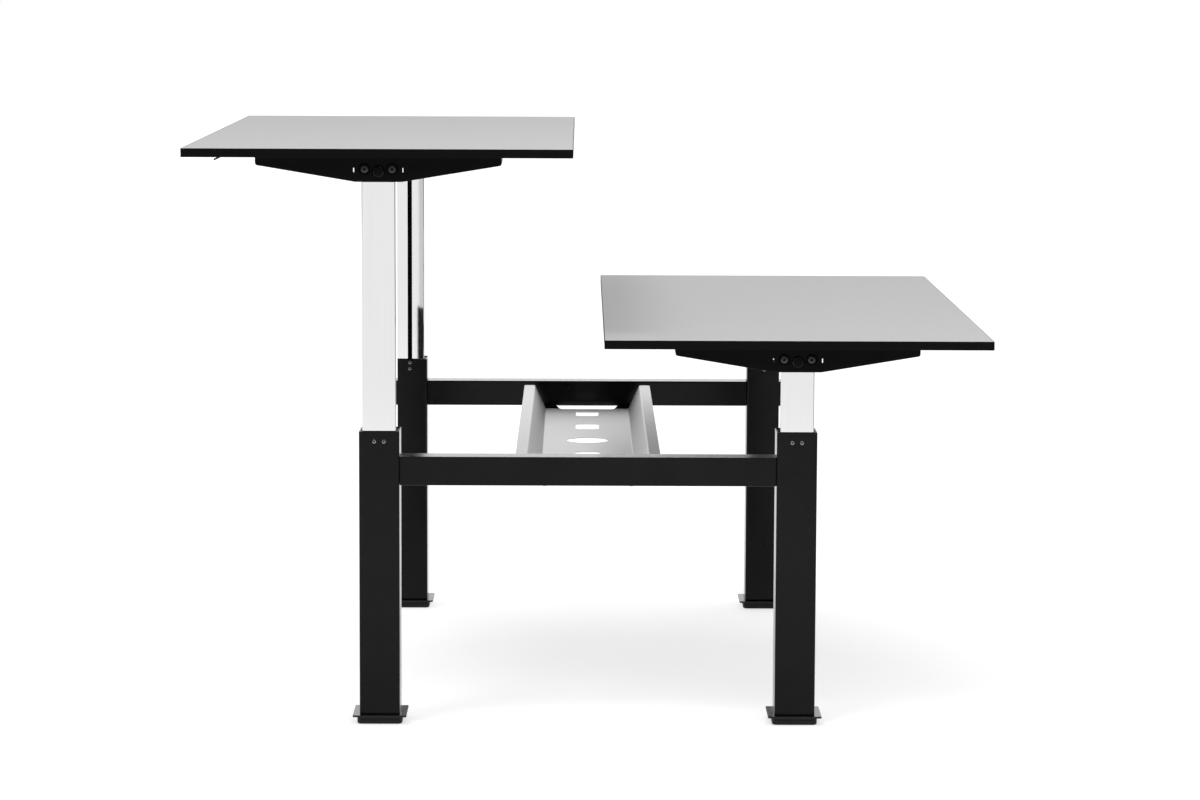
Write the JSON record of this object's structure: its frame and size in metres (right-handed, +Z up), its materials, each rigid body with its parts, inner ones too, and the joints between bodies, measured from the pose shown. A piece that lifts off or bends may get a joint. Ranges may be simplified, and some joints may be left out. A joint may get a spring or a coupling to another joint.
{
  "type": "benching desk for two",
  "caption": "Back-to-back height-adjustable desks on one steel frame, with telescopic columns, geared spindle lifts and a cable tray between them.",
  "frame": {"origin": "on the floor under the middle of the frame", "axes": "+X from the left desk to the right desk, +Y along the desks from the near end to the far end, +Z up"},
  "size_m": [1.665, 1.6, 1.2],
  "materials": {
    "laminate": "fine matt grey laminate on board",
    "edge_band": "satin black edging",
    "powder_coat": "satin black powder coat",
    "chrome": "bright mirror chrome",
    "silver_sheet": "silver-grey, faintly brushed sheet",
    "black_plastic": "fine-grained black moulding",
    "steel": "turned bright steel",
    "brass": "machined brass",
    "casting": "die-cast aluminium"
  },
  "bodies": {
    "frame": {"outer_column_left_near": "powder_coat", "outer_column_left_far": "powder_coat", "outer_column_right_near": "powder_coat", "outer_column_right_far": "powder_coat", "base_plate_left_near": "powder_coat", "base_plate_left_far": "powder_coat", "base_plate_right_near": "powder_coat", "base_plate_right_far": "powder_coat", "guide_collar_left_near": "black_plastic", "guide_collar_left_far": "black_plastic", "guide_collar_right_near": "black_plastic", "guide_collar_right_far": "black_plastic", "spindle_nut_left_near": "brass", "spindle_nut_left_far": "brass", "spindle_nut_right_near": "brass", "spindle_nut_right_far": "brass", "cross_beam_near": "powder_coat", "cross_beam_far": "powder_coat", "tray_bracket_near": "powder_coat", "tray_bracket_far": "powder_coat", "cable_tray": "silver_sheet"},
    "left_near_foot": {"levelling_foot_left_near": "black_plastic"},
    "left_far_foot": {"levelling_foot_left_far": "black_plastic"},
    "right_near_foot": {"levelling_foot_right_near": "black_plastic"},
    "right_far_foot": {"levelling_foot_right_far": "black_plastic"},
    "left_desk": {"desktop_left": "laminate", "edge_band_left": "edge_band", "support_arm_left_near": "powder_coat", "support_arm_left_far": "powder_coat", "inner_column_left_near": "chrome", "inner_column_left_far": "chrome", "gearbox_left_near": "casting", "gearbox_left_far": "casting", "side_rail_left_user": "powder_coat", "side_rail_left_inner": "powder_coat", "motor_left": "casting", "control_box_left": "black_plastic", "handset_housing_left": "black_plastic"},
    "left_near_spindle": {"spindle_left_near": "steel"},
    "left_far_spindle": {"spindle_left_far": "steel"},
    "left_drive_shaft": {"drive_shaft_left": "steel"},
    "left_paddle": {"handset_paddle_left": "black_plastic"},
    "right_desk": {"desktop_right": "laminate", "edge_band_right": "edge_band", "support_arm_right_near": "powder_coat", "support_arm_right_far": "powder_coat", "inner_column_right_near": "chrome", "inner_column_right_far": "chrome", "gearbox_right_near": "casting", "gearbox_right_far": "casting", "side_rail_right_user": "powder_coat", "side_rail_right_inner": "powder_coat", "motor_right": "casting", "control_box_right": "black_plastic", "handset_housing_right": "black_plastic"},
    "right_near_spindle": {"spindle_right_near": "steel"},
    "right_far_spindle": {"spindle_right_far": "steel"},
    "right_drive_shaft": {"drive_shaft_right": "steel"},
    "right_paddle": {"handset_paddle_right": "black_plastic"}
  },
  "joints": [
    {"name": "left_desk_lift", "type": "slide", "parent": "frame", "child": "left_desk", "axis": [0, 0, 1], "range_m": [-0.51, 0.01]},
    {"name": "left_near_spindle_turn", "type": "hinge", "parent": "left_desk", "child": "left_near_spindle", "pos_m": [-0.4325, -0.706, 0.882], "axis": [0, 0, 1], "range_deg": [-9181, 181]},
    {"name": "left_far_spindle_turn", "type": "hinge", "parent": "left_desk", "child": "left_far_spindle", "pos_m": [-0.4325, 0.706, 0.882], "axis": [0, 0, 1], "range_deg": [-9181, 181]},
    {"name": "left_drive_shaft_turn", "type": "hinge", "parent": "left_desk", "child": "left_drive_shaft", "pos_m": [-0.4325, 0, 1.1517], "axis": [0, 1, 0], "range_deg": [-9181, 181]},
    {"name": "left_paddle_tilt", "type": "hinge", "parent": "left_desk", "child": "left_paddle", "pos_m": [-0.76354, -0.5, 1.1757], "axis": [0, 1, 0], "range_deg": [-6, 6], "stiffness_Nm_per_rad": 0.2},
    {"name": "right_desk_lift", "type": "slide", "parent": "frame", "child": "right_desk", "axis": [0, 0, 1], "range_m": [-0.12, 0.4]},
    {"name": "right_near_spindle_turn", "type": "hinge", "parent": "right_desk", "child": "right_near_spindle", "pos_m": [0.4325, -0.706, 0.492], "axis": [0, 0, 1], "range_deg": [-2161, 7201]},
    {"name": "right_far_spindle_turn", "type": "hinge", "parent": "right_desk", "child": "right_far_spindle", "pos_m": [0.4325, 0.706, 0.492], "axis": [0, 0, 1], "range_deg": [-2161, 7201]},
    {"name": "right_drive_shaft_turn", "type": "hinge", "parent": "right_desk", "child": "right_drive_shaft", "pos_m": [0.4325, 0, 0.7617], "axis": [0, -1, 0], "range_deg": [-2161, 7201]},
    {"name": "right_paddle_tilt", "type": "hinge", "parent": "right_desk", "child": "right_paddle", "pos_m": [0.76354, 0.5, 0.7857], "axis": [0, -1, 0], "range_deg": [-6, 6], "stiffness_Nm_per_rad": 0.2},
    {"name": "left_near_foot_level", "type": "slide", "parent": "frame", "child": "left_near_foot", "axis": [0, 0, -1], "range_m": [0, 0.01]},
    {"name": "left_far_foot_level", "type": "slide", "parent": "frame", "child": "left_far_foot", "axis": [0, 0, -1], "range_m": [0, 0.01]},
    {"name": "right_near_foot_level", "type": "slide", "parent": "frame", "child": "right_near_foot", "axis": [0, 0, -1], "range_m": [0, 0.01]},
    {"name": "right_far_foot_level", "type": "slide", "parent": "frame", "child": "right_far_foot", "axis": [0, 0, -1], "range_m": [0, 0.01]}
  ],
  "couplings": [
    {"joint": "left_near_spindle_turn", "follows": "left_desk_lift", "rad_per_m": 314.16},
    {"joint": "left_far_spindle_turn", "follows": "left_desk_lift", "rad_per_m": 314.16},
    {"joint": "left_drive_shaft_turn", "follows": "left_desk_lift", "rad_per_m": 314.16},
    {"joint": "right_near_spindle_turn", "follows": "right_desk_lift", "rad_per_m": 314.16},
    {"joint": "right_far_spindle_turn", "follows": "right_desk_lift", "rad_per_m": 314.16},
    {"joint": "right_drive_shaft_turn", "follows": "right_desk_lift", "rad_per_m": 314.16}
  ]
}
